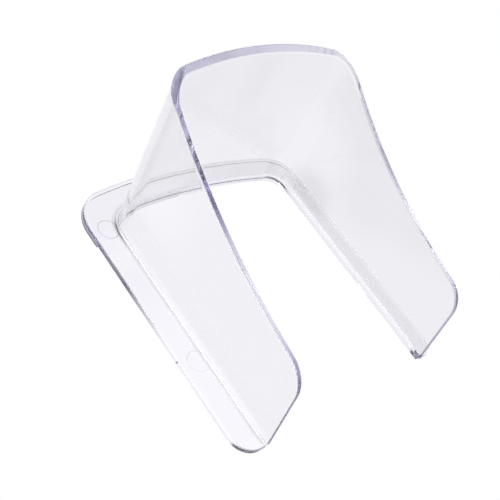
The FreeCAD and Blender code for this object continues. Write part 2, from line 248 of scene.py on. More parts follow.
class Nodes:
    """Node tree of a new material or world, with short ways to add to it."""

    def __init__(self, owner: bpy.types.ID) -> None:
        """Empties the tree of a material or world.

        Args:
            owner: the material or world.
        """
        owner.use_nodes = True
        self.tree = owner.node_tree
        self.tree.nodes.clear()

    def put(self, target: bpy.types.NodeSocket, value: Feed) -> None:
        """Links a target to a socket, or sets it to a constant.

        Args:
            target: socket to fill.
            value: another node's socket, or the constant.
        """
        if isinstance(value, bpy.types.NodeSocket):
            self.tree.links.new(value, target)
        else:
            target.default_value = value

    def add(self, kind: str, *values: Feed, **settings: str) -> bpy.types.Node:
        """New node of a kind.

        Args:
            kind: the kind of node.
            values: what its first inputs take, each a socket or a constant.
            settings: its properties.

        Returns:
            The node.
        """
        node = self.tree.nodes.new(kind)
        for key, setting in settings.items():
            setattr(node, key, setting)
        for target, value in zip(node.inputs, values):
            self.put(target, value)
        return node

    def maths(self, operation: str, *values: Feed) -> bpy.types.NodeSocket:
        """Result of an operation on numbers, each a socket or a constant."""
        return self.add("ShaderNodeMath", *values, operation=operation).outputs[0]

    def measure(self, operation: str, *values: Feed) -> bpy.types.NodeSocket:
        """Number that an operation on vectors gives, each a socket or a constant."""
        return self.add("ShaderNodeVectorMath", *values, operation=operation).outputs["Value"]

    def spread(self, value: bpy.types.NodeSocket, span: Span, results: Span = RISING,
               ) -> bpy.types.NodeSocket:
        """A value carried smoothly from one range to another.

        Args:
            value: the value.
            span: where the change starts and ends.
            results: result up to its start, and result past its end.

        Returns:
            The socket with the result.
        """
        ranged = self.add("ShaderNodeMapRange", value, *span, *results,
                          interpolation_type="SMOOTHSTEP")
        return ranged.outputs[0]

    def mixed(self, share: bpy.types.NodeSocket, *ends: Colour | bpy.types.NodeSocket,
              ) -> bpy.types.NodeSocket:
        """Colour that goes from one to another as a share goes from 0 to 1.

        Args:
            share: the share.
            ends: the two colours, each as a colour or as a socket.

        Returns:
            The socket with the colour.
        """
        mix = self.add("ShaderNodeMix", share, data_type="RGBA")
        colours = [socket for socket in mix.inputs if socket.type == "RGBA"]
        for target, end in zip(colours, ends):
            self.put(target, (*end, 1) if isinstance(end, tuple) else end)
        return next(socket for socket in mix.outputs if socket.type == "RGBA")

    def noise(self, place_from: bpy.types.NodeSocket, scale: float, detail: float,
              stretch: Spot = (1, 1, 1)) -> bpy.types.NodeSocket:
        """Noise on object coordinates.

        Args:
            place_from: coordinates.
            scale: noise scale, in features a metre.
            detail: octaves.
            stretch: scale of each axis before the noise.

        Returns:
            The socket with the noise's value.
        """
        mapping = self.add("ShaderNodeMapping", place_from)
        self.put(mapping.inputs["Scale"], stretch)
        noise = self.add("ShaderNodeTexNoise", mapping.outputs["Vector"])
        self.put(noise.inputs["Scale"], scale)
        self.put(noise.inputs["Detail"], detail)
        return noise.outputs["Fac"]

    def clear(self, tint: Feed, index: float, roughness: bpy.types.NodeSocket,
              height: bpy.types.NodeSocket, relief: Span) -> bpy.types.NodeSocket:
        """Clear shader with a slightly uneven face.

        Args:
            tint: its colour, with alpha, or a socket with it.
            index: its refractive index.
            roughness: socket with its roughness.
            height: socket with the height of its unevenness.
            relief: strength and depth of the unevenness.

        Returns:
            The shader's socket.
        """
        shader = self.add("ShaderNodeBsdfPrincipled", tint)
        self.put(shader.inputs["IOR"], index)
        self.put(shader.inputs["Transmission Weight"], 1.0)
        self.put(shader.inputs["Roughness"], roughness)
        bump = self.add("ShaderNodeBump")
        for key, value in zip(("Strength", "Distance", "Height"), (*relief, height)):
            self.put(bump.inputs[key], value)
        self.put(shader.inputs["Normal"], bump.outputs["Normal"])
        return shader.outputs["BSDF"]


@dataclass(frozen=True)
class ShadePatch:
    """Round patch of painted shade: full up to its near radius and gone past its far one."""

    middle: Spot
    radii: Span
    tint: Colour


@dataclass(frozen=True)
class ClearPlastic:
    """Injection-moulded clear plastic: water clear, violet where it is looked along.

    Clear plastic takes its tones from what is round it, so light and shade from round each part of
    the hood are painted into a tint of its own. Lengths are in metres, and a span is where one tint
    gives way to the next.
    """

    name: str = "clear_plastic"
    index: float = 1.50

    # Painted shade: the flange darkens from its left leg to its right one.
    flange_shade_tints: tuple[Colour, Colour] = ((0.985, 0.985, 0.985), (0.91, 0.91, 0.91))
    flange_span: Span = (-0.025, 0.030)

    # The wall carries painted shade, faintly cloudy at random, and painted light lifts the left side
    # below the shoulder line.
    cloudy_wall_shade_tints: tuple[Colour, Colour] = ((0.83, 0.83, 0.83), (0.875, 0.875, 0.875))
    cloud_scale: float = 26.0
    cloud_span: Span = (0.36, 0.64)
    lit_side_tints: tuple[Colour, Colour] = ((0.895, 0.895, 0.895), (0.945, 0.945, 0.945))
    side_span: Span = (-0.0455, -0.0435)
    shoulder_lean: float = -0.095
    shoulder_span: Span = (0.0315, 0.0345)
    upper_span: Span = (0.0, 0.030)
    outer_span: Span = (0.010, 0.028)

    # The wall's painted shade starts just over its foot, and higher up under the roof.
    foot_span: Span = (0.0044, 0.0058)
    roof_span: Span = (0.034, 0.046)
    roof_lift: float = 0.008
    # Round patches of painted shade on the right wall.
    shade_patches: tuple[ShadePatch, ...] = (
        ShadePatch((0.046, 0.040, 0.024), (0.008, 0.034), (0.90, 0.90, 0.90)),
        ShadePatch((0.0465, 0.025, 0.009), (0.004, 0.017), (0.77, 0.77, 0.77)))

    # Painted shade on the outline of each ejector mark, on the back of the flange.
    mark_shade_tints: tuple[Colour, ...] = ((0.78, 0.78, 0.78), (0.55, 0.55, 0.55))
    mark_line: Span = (0.0001, 0.0003)
    mark_depth: Span = (0.0014, 0.0016)

    scuff_scale: float = 90.0
    scuff_span: Span = (0.45, 0.75)
    roughness: Span = (0.012, 0.05)
    streak_scale: float = 22.0
    streak_stretch: Spot = (1, 0.35, 0.35)
    streak_relief: Span = (0.06, 0.0006)
    violet: Colour = (0.58, 0.56, 0.83)
    density: float = 4.5

    def wall_light_and_shade(self, nodes: Nodes, place_from: bpy.types.NodeSocket,
                  x: bpy.types.NodeSocket, y: bpy.types.NodeSocket, z: bpy.types.NodeSocket,
                  ) -> bpy.types.NodeSocket:
        """Painted light and shade of the wall, over a faint random cloudiness.

        The left side, painted lighter and lighter still high up and out, is where x is under its
        span and y plus the shoulder's lean times z is under the shoulder's. A patch of painted shade
        fades with the distance from its middle.

        Args:
            nodes: the node tree.
            place_from: object coordinates.
            x: their x.
            y: their y.
            z: their z.

        Returns:
            The socket with the tint.
        """
        cloud = nodes.spread(nodes.noise(place_from, self.cloud_scale, 1), self.cloud_span)
        shoulder = nodes.maths("MULTIPLY_ADD", z, self.shoulder_lean, y)
        left = nodes.maths("MULTIPLY", nodes.spread(x, self.side_span, FALLING),
                           nodes.spread(shoulder, self.shoulder_span, FALLING))
        upper = nodes.maths("MULTIPLY", nodes.spread(y, self.upper_span),
                            nodes.spread(z, self.outer_span))
        tint = nodes.mixed(left, nodes.mixed(cloud, *self.cloudy_wall_shade_tints),
                           nodes.mixed(upper, *self.lit_side_tints))
        for patch in self.shade_patches:
            away = nodes.measure("DISTANCE", place_from, patch.middle)
            tint = nodes.mixed(nodes.spread(away, patch.radii, FALLING), tint, patch.tint)
        return tint

    def mark(self, nodes: Nodes, x: bpy.types.NodeSocket, y: bpy.types.NodeSocket,
             z: bpy.types.NodeSocket, pin: Span, radius: float) -> bpy.types.NodeSocket:
        """Thin outline of painted shade round an ejector pin on the back of either leg.

        It is where the distance from the pin, in plan and with x without its sign, differs
        from the pin's radius by less than the line's width.

        Args:
            nodes: the node tree.
            x: x of the object coordinates.
            y: their y.
            z: their z.
            pin: the pin's place on the right leg.
            radius: its radius.

        Returns:
            The socket that is 1 on the outline and 0 away from it.
        """
        flat = nodes.add("ShaderNodeCombineXYZ", nodes.maths("ABSOLUTE", x), y).outputs[0]
        away = nodes.measure("DISTANCE", flat, (*pin, 0))
        gap = nodes.maths("ABSOLUTE", nodes.maths("SUBTRACT", away, radius))
        return nodes.maths("MULTIPLY", nodes.spread(gap, self.mark_line, FALLING),
                           nodes.spread(z, self.mark_depth, FALLING))

    def material(self, pins: list[Span], pin_radius: float) -> bpy.types.Material:
        """Clear material with painted light and shade, fine scuffs, moulding streaks and a violet
        body.

        Args:
            pins: places of the right leg's ejector marks, in metres.
            pin_radius: their radius.

        Returns:
            The material.
        """
        material = bpy.data.materials.new(self.name)
        nodes = Nodes(material)
        place_from = nodes.add("ShaderNodeTexCoord").outputs["Object"]
        x, y, z = nodes.add("ShaderNodeSeparateXYZ", place_from).outputs
        # Painted light and shade: the flange and the wall's foot take the flange's lighter tint, and
        # the wall above takes its darker painted shade.
        lift = nodes.spread(y, self.roof_span, (0.0, self.roof_lift))
        height = nodes.spread(nodes.maths("SUBTRACT", z, lift), self.foot_span)
        flange = nodes.mixed(nodes.spread(x, self.flange_span), *self.flange_shade_tints)
        tint = nodes.mixed(height, flange, self.wall_light_and_shade(nodes, place_from, x, y, z))
        # Painted shade on the outlines of the ejector marks.
        for pin, mark_shade in zip(pins, self.mark_shade_tints):
            tint = nodes.mixed(self.mark(nodes, x, y, z, pin, pin_radius), tint, mark_shade)
        # Painted shade lines and painted highlights along the edges, carried on the mesh as its
        # "tint" attribute.
        edges = nodes.add("ShaderNodeAttribute", attribute_name="tint").outputs["Color"]
        tint = nodes.add("ShaderNodeVectorMath", tint, edges, operation="MULTIPLY").outputs[0]
        scuffs = nodes.noise(place_from, self.scuff_scale, 3)
        streaks = nodes.noise(place_from, self.streak_scale, 1, self.streak_stretch)
        surface = nodes.clear(tint, self.index,
                              nodes.spread(scuffs, self.scuff_span, self.roughness),
                              streaks, self.streak_relief)
        volume = nodes.add("ShaderNodeVolumeAbsorption", (*self.violet, 1), self.density)
        nodes.add("ShaderNodeOutputMaterial", surface, volume.outputs["Volume"])
        return material


@dataclass(frozen=True)
class ClearAdhesive:
    """Clear acrylic foam adhesive that all but disappears against the plastic."""

    name: str = "clear_adhesive"
    index: float = 1.03
    tint: Colour = (0.985, 0.985, 0.995)
    pebble_scale: float = 900.0
    pebble_span: Span = (0.3, 0.7)
    roughness: Span = (0.03, 0.10)
    relief: Span = (0.15, 0.0001)

    def material(self) -> bpy.types.Material:
        """Nearly index-matched clear material with a faintly pebbled face.

        Returns:
            The material.
        """
        material = bpy.data.materials.new(self.name)
        nodes = Nodes(material)
        place_from = nodes.add("ShaderNodeTexCoord").outputs["Object"]
        pebbles = nodes.noise(place_from, self.pebble_scale, 2)
        surface = nodes.clear((*self.tint, 1), self.index,
                              nodes.spread(pebbles, self.pebble_span, self.roughness),
                              pebbles, self.relief)
        nodes.add("ShaderNodeOutputMaterial", surface)
        return material


@dataclass(frozen=True)
class LitPaper:
    """Evenly lit paper, which shows one flat tone."""

    name: str
    tone: Colour

    def material(self) -> bpy.types.Material:
        """Self-lit material of the paper's tone.

        Returns:
            The material.
        """
        material = bpy.data.materials.new(self.name)
        nodes = Nodes(material)
        shader = nodes.add("ShaderNodeEmission", (*self.tone, 1), 1.0)
        nodes.add("ShaderNodeOutputMaterial", shader.outputs["Emission"])
        return material


# ------------------------------------------------------------------ the hood

@dataclass
class ArchOutline:
    """Right half of an arched outline in millimetres: a leg, a corner and half an arch."""

    half: float
    top: float
    arch: float
    corner: float

    @property
    def centre(self) -> float:
        """Height of the arch's centre."""
        return self.top - self.arch

    @property
    def shoulder(self) -> float:
        """Height where the leg meets the corner."""
        reach, inset = self.arch - self.corner, self.half - self.corner
        return self.centre + math.sqrt(reach ** 2 - inset ** 2)

    @property
    def turn(self) -> float:
        """Angle that the corner turns through, where the arch takes over."""
        return math.atan2(self.shoulder - self.centre, self.half - self.corner)

    def way_out(self, stretch: Stretch, share: np.ndarray) -> np.ndarray:
        """Outward directions in plan: (cos, sin) of the angle reached on a stretch.

        Args:
            stretch: the corner, or the arch up to the middle.
            share: (n,) shares of the stretch.

        Returns:
            (n, 3) unit directions.
        """
        start, end = (0.0, self.turn) if stretch is Stretch.CORNER else (self.turn, math.pi / 2)
        angle = start + share * (end - start)
        return np.stack([np.cos(angle), np.sin(angle), 0 * angle], -1)

    def points(self, stretch: Stretch, share: np.ndarray, inset: float = 0.0) -> np.ndarray:
        """Points on a stretch: its centre plus its radius times the outward direction.

        Args:
            stretch: the corner, or the arch up to the middle.
            share: (n,) shares of the stretch.
            inset: how far inside the outline.

        Returns:
            (n, 2) points.
        """
        if stretch is Stretch.CORNER:
            centre, radius = (self.half - self.corner, self.shoulder), self.corner
        else:
            centre, radius = (0.0, self.centre), self.arch
        return np.array(centre) + (radius - inset) * self.way_out(stretch, share)[:, :2]


@dataclass(frozen=True)
class PaintedEdgeShade:
    """Painted shade along one edge of the hood: a dark line over the plastic's own tint.

    The painted shade is read at a middle column, given within its band. The shares say how much of
    it each column takes, from so many columns before the middle one. The depths are pairs of y in
    millimetres and depth, and the far leg takes a share of them.
    """

    band: Band
    middle: int
    before: int
    shares: tuple[float, ...]
    tint: Colour
    depths: tuple[Span, ...]
    far_leg: float


# Painted shade: dark lines along the rim's inner rounding, the flange's front edge and the wall's
# root.
RIM_SHADE = PaintedEdgeShade(
    Band.RIM_INSIDE, 10, 1, (0.8, 1, 1, 1, 0.8, 0.6, 0.4), (0.115, 0.105, 0.27),
    ((-58, 1.0), (-46, 0.9), (-38, 0.45), (-28, 0.15), (-14, 0.3), (-6, 0.45), (2, 0.9),
     (12, 1.0), (20, 0.8), (30, 0.55), (40, 0.5), (46, 0.4), (58, 0.35)), 0.75)
FLANGE_EDGE_SHADE = PaintedEdgeShade(
    Band.FRONT_EDGE, 8, 6, (0.5, 0.7, 0.8, 0.9, 1, 1, 1, 1, 1, 0.5), (0.12, 0.115, 0.19),
    ((-58.25, 1.0), (-55, 0.9), (-51, 0), (-20, 0), (-8, 0.06), (4, 0.4), (14, 1.0),
     (30, 0.95), (42, 0.95), (47, 0.75), (58, 0.5)), 0.0)
ROOT_SHADE = PaintedEdgeShade(
    Band.ROOT, 7, 2, (0.5, 1, 1, 1, 0.3), (0.05, 0.05, 0.05),
    ((-58, 0.45), (-50, 0.35), (10, 0.3), (26, 0.4), (33, 1.0), (38, 1.0), (42, 0.4),
     (47, 0.25)), 0.0)


@dataclass
class HoodMoulding:
    """One clear moulding: the flange, the hood wall on its opening, and the lip behind it.

    Lengths are in millimetres and angles in degrees. The mesh is a row of rings, each a section
    through flange and wall at one station, from one leg's end over the roof to the other's.
    """

    length: float = 116.5
    flange: ArchOutline = field(default_factory=lambda: ArchOutline(58.0, 58.25, 263.0, 15.0))
    leg_end_radius: float = 8.5
    lower: ArchOutline = field(default_factory=lambda: ArchOutline(47.0, 47.25, 252.0, 12.0))
    side_lean: float = 2.4
    roof_lean: float = 6.8
    upper_arch: float = 229.0
    upper_corner: float = 13.5
    loft_height: float = 90.0
    wall: float = 2.0
    wall_taper: float = 1.0
    back: float = 0.8
    front: float = 2.8
    lip_width: float = 1.2
    narrow_lip: float = 0.3
    lip_ease: float = 40.0
    lip_start: float = 91.0
    leg_depth: float = 36.0
    roof_depth: float = 71.0
    roof_reach: float = 114.0
    sweep_radius: float = 252.0
    rim_corner: float = 12.0
    end_lean: float = 10.0
    root_radius: float = 1.0
    root_least: float = 0.001
    root_ease: float = 4.0
    rim_rounding: float = 0.7
    edge_rounding: float = 0.5
    back_rounding: float = 0.15
    ejectors: tuple[Span, ...] = ((50.2, 36.6), (50.2, 96.0))
    ejector_radius: float = 4.1
    ejector_depth: float = 0.06
    ejector_slope: float = 0.4

    # Where the fan of rings round the leg's end gives way to rings straight across the leg.
    tight_y: float = -50.0

    # Stations: the end face, the fan, the leg below, over and past the mark, and the curves.
    end_stations: int = 5
    fan_stations: int = 56
    leg_stations: tuple[int, int, int] = (14, 42, 26)
    mark_reach: float = 5.2
    shoulder_gap: float = 0.8
    step_gap: float = 3e-4
    corner_stations: int = 76
    arch_stations: int = 34

    # Segments in each rounding, and segments across each flat face.
    rim_steps: int = 8
    edge_steps: int = 6
    back_steps: int = 3
    wall_steps: int = 16
    front_steps: int = 12
    back_face_steps: int = 50

    # Painted shade along the edges and painted highlights on the rim's rounding and the far flange's
    # edge, over the plastic's own tint, where more than 1 is clearer.
    painted_edge_shades: tuple[PaintedEdgeShade, ...] = (RIM_SHADE, FLANGE_EDGE_SHADE, ROOT_SHADE)
    near_rounding_highlight: float = 1.15
    far_rim_shade_power: float = 0.6
    far_edge_highlight: float = 1.5

    foot: float = field(init=False)
    slope: float = field(init=False)
    slope_in: float = field(init=False)
    upper: ArchOutline = field(init=False)
    upper_in: ArchOutline = field(init=False)
    sweep_centre: np.ndarray = field(init=False)
    corner_centre: np.ndarray = field(init=False)
    towards: float = field(init=False)

    def __post_init__(self) -> None:
        """Works out the upper outlines and the side view of the rim."""
        self.foot = -self.length / 2
        self.slope = math.tan(math.radians(self.side_lean))
        self.slope_in = math.tan(math.radians(self.side_lean - self.wall_taper))
        self.upper = ArchOutline(
            self.lower.half + self.loft_height * self.slope,
            self.lower.top + self.loft_height * math.tan(math.radians(self.roof_lean)),
            self.upper_arch, self.upper_corner)
        thick = self.wall + self.loft_height * math.tan(math.radians(self.wall_taper))
        roof_in = math.tan(math.radians(self.roof_lean - self.wall_taper))
        self.upper_in = ArchOutline(
            self.lower.half - self.wall + self.loft_height * self.slope_in,
            self.lower.top - self.wall + self.loft_height * roof_in,
            self.upper_arch - thick, self.upper_corner - thick)
        self.lay_out_rim()

    def lay_out_rim(self) -> None:
        """Centres of the rim's long sweep and of its corner, as (y, z) in the side view.

        The sweep's circle passes through the leg's depth at the foot and the roof's depth at
        the roof's reach. The corner's circle touches the leaning end edge and the sweep, and
        its centre is found by turns: y from z on the first, then z from y on the second.
        """
        reach, rise = self.roof_reach, self.roof_depth - self.leg_depth
        chord = math.hypot(reach, rise)
        sag = math.sqrt(self.sweep_radius ** 2 - (chord / 2) ** 2)
        self.sweep_centre = np.array([self.foot + reach / 2 - sag * rise / chord,
                                      (self.leg_depth + self.roof_depth) / 2 + sag * reach / chord])
        lean = math.radians(self.end_lean)
        rounds = 20
        z = self.leg_depth - self.rim_corner
        for _ in range(rounds):
            y = self.foot + self.rim_corner / math.cos(lean) + (z - self.front) * math.tan(lean)
            z = self.sweep_centre[1] - math.sqrt((self.sweep_radius + self.rim_corner) ** 2
                                                 - (y - self.sweep_centre[0]) ** 2)
        self.corner_centre = np.array([y, z])
        self.towards = math.atan2(self.sweep_centre[1] - z, self.sweep_centre[0] - y)

    def end_edge(self, share: np.ndarray) -> tuple[np.ndarray, np.ndarray]:
        """Side view of the end edge and the rim's corner, by length from the flange's front.

        First a straight line that leans towards the roof, then an arc from it to the sweep.

        Args:
            share: (n,) shares of the whole length.

        Returns:
            (n, 2) points as (y, z), and (n, 2) outward directions.
        """
        lean = math.radians(self.end_lean)
        away = np.array([-math.cos(lean), math.sin(lean)])
        start = np.array([self.foot, self.front])
        touch = self.corner_centre + self.rim_corner * away
        straight = np.linalg.norm(touch - start)
        bend = math.pi - lean - self.towards
        distance = share * (straight + self.rim_corner * bend)
        angle = math.pi - lean - np.clip(distance - straight, 0, None) / self.rim_corner
        turned = np.stack([np.cos(angle), np.sin(angle)], -1)
        line = start + (touch - start) * (distance / straight)[:, None]
        on_line = (distance < straight)[:, None]
        return np.where(on_line, line, self.corner_centre + self.rim_corner * turned), \
            np.where(on_line, away, turned)

    def swept(self, y: np.ndarray) -> np.ndarray:
        """Height of the rim's long sweep at each y: the lower side of its circle."""
        across = y - self.sweep_centre[0]
        return self.sweep_centre[1] - np.sqrt(self.sweep_radius ** 2 - across ** 2)

    def meet_sweep(self, low: np.ndarray, high: np.ndarray) -> np.ndarray:
        """Where straight lines from the lower outline to the upper one meet the rim's sweep.

        Solves the quadratic for the share of the way at which the point is one sweep radius
        from the sweep's centre.

        Args:
            low: (n, 2) points on the lower outline.
            high: (n, 2) points on the upper outline.

        Returns:
            (n, 3) points.
        """
        start = np.stack([low[:, 1] - self.sweep_centre[0],
                          np.full(len(low), -self.sweep_centre[1])], -1)
        step = np.stack([high[:, 1] - low[:, 1], np.full(len(low), self.loft_height)], -1)
        a = (step ** 2).sum(-1)
        b = 2 * (start * step).sum(-1)
        c = (start ** 2).sum(-1) - self.sweep_radius ** 2
        share = ((-b - np.sqrt(b * b - 4 * a * c)) / (2 * a))[:, None]
        return np.concatenate([low + (high - low) * share, share * self.loft_height], -1)

    def side_rows(self, base: np.ndarray, rim: np.ndarray, rim_out: np.ndarray,
                  edge: np.ndarray, edge_out: np.ndarray) -> Rows:
        """Stations on the flat side wall, whose faces lean by their slopes times the height.

        Args:
            base: (n,) y of the wall's foot.
            rim: (n, 2) side view of the rim.
            rim_out: (n, 2) its outward directions.
            edge: (n, 2) plan of the flange's edge.
            edge_out: (n, 2) its outward directions.

        Returns:
            The stations' arrays, as stations lists them.
        """
        count = len(base)
        zero = np.zeros((count, 1))
        x = self.lower.half + self.slope * rim[:, 1:2]
        x_in = self.lower.half - self.wall + self.slope_in * rim[:, 1:2]
        low = np.stack([np.full(count, self.lower.half), base], -1)
        return {
            "low": low, "low_in": low - [self.wall, 0],
            "lean": np.tile([self.slope, 0.0], (count, 1)),
            "lean_in": np.tile([self.slope_in, 0.0], (count, 1)),
            "way": np.tile([1.0, 0.0, 0.0], (count, 1)),
            "rim": np.concatenate([x, rim], -1),
            "rim_in": np.concatenate([x_in, rim], -1),
            "rim_out": np.concatenate([zero, rim_out], -1),
            "edge": np.concatenate([edge, zero], -1),
            "edge_out": np.concatenate([edge_out, zero], -1),
        }

    def end_face(self) -> Rows:
        """Stations on the leg's end face, where only the flange's edge moves.

        Returns:
            The stations' arrays.
        """
        count = self.end_stations
        stay = np.zeros(count)
        rim, rim_out = self.end_edge(stay)
        start = self.lower.half + self.slope * self.front
        end = self.flange.half - self.leg_end_radius
        edge = np.stack([np.linspace(start, end, count, endpoint=False),
                         np.full(count, self.foot)], -1)
        return self.side_rows(stay + self.root_y, rim, rim_out, edge,
                              np.tile([0.0, -1.0], (count, 1)))

    @property
    def root_y(self) -> float:
        """Where the wall's foot starts, just inside the rounding of its end edge."""
        return self.foot + self.rim_rounding + LEAD

    def fan(self) -> Rows:
        """Stations that fan out round the flange's rounded corner and up the end edge.

        The flange's edge is its corner's centre plus its radius times (cos, sin).

        Returns:
            The stations' arrays.
        """
        share = np.linspace(0, 1, self.fan_stations, endpoint=False)
        rim, rim_out = self.end_edge(share)
        angle = -math.pi / 2 * (1 - share)
        out = np.stack([np.cos(angle), np.sin(angle)], -1)
        radius = self.leg_end_radius
        edge = np.array([self.flange.half - radius, self.foot + radius]) + radius * out
        base = self.root_y + (self.tight_y - self.root_y) * share
        return self.side_rows(base, rim, rim_out, edge, out)

    def leg(self) -> Rows:
        """Stations up the leg, closer over its ejector mark, with a pair at the lip's end.

        Foot, rim and flange's edge each run evenly from their own start to their own end.

        Returns:
            The stations' arrays.
        """
        mark = self.foot + self.ejectors[0][1]
        top = self.lower.shoulder
        below, over, past = self.leg_stations
        low_mark, high_mark = mark - self.mark_reach, mark + self.mark_reach
        base = np.concatenate([
            np.linspace(self.tight_y, low_mark, below, endpoint=False),
            np.linspace(low_mark, high_mark, over, endpoint=False),
            np.linspace(high_mark, top - self.shoulder_gap, past)])
        share = (base - self.tight_y) / (top - self.tight_y)
        edge_start, edge_end = self.foot + self.leg_end_radius, self.flange.shoulder
        lip_share = (self.foot + self.lip_start - edge_start) / (edge_end - edge_start)
        pair = lip_share + np.array([-self.step_gap, self.step_gap])
        share = np.sort(np.concatenate([share, pair]))
        rim_start = self.end_edge(np.ones(1))[0][0, 0]
        first = np.zeros(1)
        rim_end = self.meet_sweep(self.lower.points(Stretch.CORNER, first),
                                  self.upper.points(Stretch.CORNER, first))[0, 1]
        y = rim_start + (rim_end - rim_start) * share
        rim = np.stack([y, self.swept(y)], -1)
        edge_y = edge_start + (edge_end - edge_start) * share
        edge = np.stack([np.full_like(share, self.flange.half), edge_y], -1)
        return self.side_rows(self.tight_y + (top - self.tight_y) * share, rim,
                              unit(self.sweep_centre - rim), edge,
                              np.tile([1.0, 0.0], (len(share), 1)))

    def curve(self, stretch: Stretch, share: np.ndarray) -> Rows:
        """Stations on the corner or the arch, where the wall is ruled from outline to outline.

        Args:
            stretch: the corner, or the arch up to the middle.
            share: (n,) shares of the stretch.

        Returns:
            The stations' arrays.
        """
        low = self.lower.points(stretch, share)
        low_in = self.lower.points(stretch, share, self.wall)
        high = self.upper.points(stretch, share)
        high_in = self.upper_in.points(stretch, share)
        rim = self.meet_sweep(low, high)
        zero = np.zeros((len(share), 1))
        return {
            "low": low, "low_in": low_in,
            "lean": (high - low) / self.loft_height,
            "lean_in": (high_in - low_in) / self.loft_height,
            "way": self.lower.way_out(stretch, share),
            "rim": rim, "rim_in": self.meet_sweep(low_in, high_in),
            "rim_out": np.concatenate([zero, unit(self.sweep_centre - rim[:, 1:])], -1),
            "edge": np.concatenate([self.flange.points(stretch, share), zero], -1),
            "edge_out": self.flange.way_out(stretch, share),
        }

    def stations(self) -> Rows:
        """Everything that the rings need at each station, from a leg's end to the middle.

        Returns:
            Arrays with one row a station: foot point, lean and direction of the wall's outer
            face and of its inner one, sharp rim points outside and inside, the rim's outward
            direction, and the flange's edge point, outward direction, lip depth and lip width.
        """
        rows = [
            self.end_face(), self.fan(), self.leg(),
            self.curve(Stretch.CORNER, np.linspace(0, 1, self.corner_stations, endpoint=False)),
            self.curve(Stretch.ARCH, np.linspace(0, 1, self.arch_stations)),
        ]
        made = {key: np.concatenate([row[key] for row in rows]) for key in rows[0]}
        edge_y = made["edge"][:, 1]
        made["lip"] = np.where(edge_y > self.foot + self.lip_start, self.back, 0.0)
        ease = np.clip((edge_y + self.lip_ease) / self.lip_ease, 0, 1)
        made["lip_width"] = self.narrow_lip + (self.lip_width - self.narrow_lip) * ease
        return made

    def wall_at(self, low: np.ndarray, lean: np.ndarray, z: float) -> np.ndarray:
        """Points on a face of the wall near its foot: its lower outline plus z times its lean.

        Args:
            low: (n, 2) points on the face's lower outline.
            lean: (n, 2) steps outwards for each millimetre of height.
            z: height.

        Returns:
            (n, 3) points.
        """
        return np.concatenate([low + lean * z, np.full((len(low), 1), z)], -1)

    def rim_roundings(self, s: Rows) -> tuple[np.ndarray, np.ndarray]:
        """The rim's two roundings, each from its face of the wall to the flat of the rim.

        The rim's tangent is the difference of neighbouring points. Crossed with the wall's
        outward direction it gives the way down the wall, and crossed with the rim's own
        outward direction the way across the rim.

        Args:
            s: the stations.

        Returns:
            (n, m, 3) points of the outer rounding, and of the inner one.
        """
        ones = np.ones((len(s["lean"]), 1))
        made = []
        for key, lean, sign in (("rim", "lean", 1), ("rim_in", "lean_in", -1)):
            up = unit(np.concatenate([s[lean], ones], -1))
            tangent = tangents(s[key])
            tangent[-1] = unit(tangent[-1] * [1, 0, 0])
            outward = unit(np.cross(tangent, up))
            outward *= np.sign((outward * s["way"]).sum(-1, keepdims=True))
            down = np.cross(tangent, outward)
            across = unit(np.cross(s["rim_out"], tangent))
            across *= np.sign((across * (s["rim_in"] - s["rim"])).sum(-1, keepdims=True)) * sign
            radius = self.rim_rounding * ones[:, 0]
            made.append(rounded_corner(s[key], down, across, radius, self.rim_steps))
        return made[0], made[1]

    def marked(self, points: np.ndarray) -> np.ndarray:
        """Back face with the ejector pins' round marks pressed into it.

        Each mark raises the back by its depth times a smooth step of the distance inside
        its circle.

        Args:
            points: (n, m, 3) points on the back.

        Returns:
            (n, m, 3) points.
        """
        raised = points.copy()
        for x, from_foot in self.ejectors:
            distance = np.hypot(points[..., 0] - x, points[..., 1] - (self.foot + from_foot))
            inside = self.ejector_radius + self.ejector_slope / 2 - distance
            share = np.clip(inside / self.ejector_slope, 0, 1)
            raised[..., 2] += self.ejector_depth * share * share * (3 - 2 * share)
        return raised

    def bands(self) -> dict[Band, np.ndarray]:
        """Bands of the moulding's right half, from the inside of the rim round the section.

        Flat faces are blends between the roundings beside them.

        Returns:
            (n, m, 3) points of each band in millimetres, in order.
        """
        s = self.stations()
        full = np.ones(len(s["low"]))
        up, out = np.array([0.0, 0, 1]), s["edge_out"]
        upright = np.tile(up, (len(full), 1))
        rim_out, rim_in = self.rim_roundings(s)
        tall = np.clip((s["rim"][:, 2] - self.front) / self.root_ease, 0, 1)
        root = rounded_corner(self.wall_at(s["low"], s["lean"], self.front),
                              unit(np.concatenate([s["lean"], full[:, None]], -1)), s["way"],
                              self.root_radius * tall + self.root_least, self.edge_steps)
        front_edge = rounded_corner(s["edge"] + up * self.front, -out, -upright,
                                    full * self.edge_rounding, self.edge_steps)
        corner = s["edge"] + up * (self.back - s["lip"])[:, None]
        back_edge = rounded_corner(corner, upright, -out, full * self.back_rounding,
                                   self.back_steps)
        lip_foot = corner - out * s["lip_width"][:, None]
        lip_top = lip_foot * [1, 1, 0] + up * self.back
        hole = rounded_corner(self.wall_at(s["low_in"], s["lean_in"], self.back), s["way"],
                              unit(np.concatenate([s["lean_in"], full[:, None]], -1)),
                              full * self.back_rounding, self.back_steps)
        between = np.arange(1, self.wall_steps) / self.wall_steps
        on_front = np.arange(1, self.front_steps) / self.front_steps
        on_back = np.arange(self.back_face_steps) / self.back_face_steps
        return {
            Band.RIM_INSIDE: rim_in,
            Band.RIM_OUTSIDE: rim_out[:, ::-1],
            Band.OUTER_WALL: blend(rim_out[:, 0], root[:, 0], between),
            Band.ROOT: root,
            Band.PLATE_FRONT: blend(root[:, -1], front_edge[:, 0], on_front),
            Band.FRONT_EDGE: front_edge,
            Band.BACK_EDGE: back_edge,
            Band.LIP_FOOT: lip_foot[:, None],
            Band.PLATE_BACK: self.marked(blend(lip_top, hole[:, 0], on_back)),
            Band.HOLE_EDGE: self.marked(hole),
            Band.INNER_WALL: blend(hole[:, -1], rim_in[:, 0], between),
        }

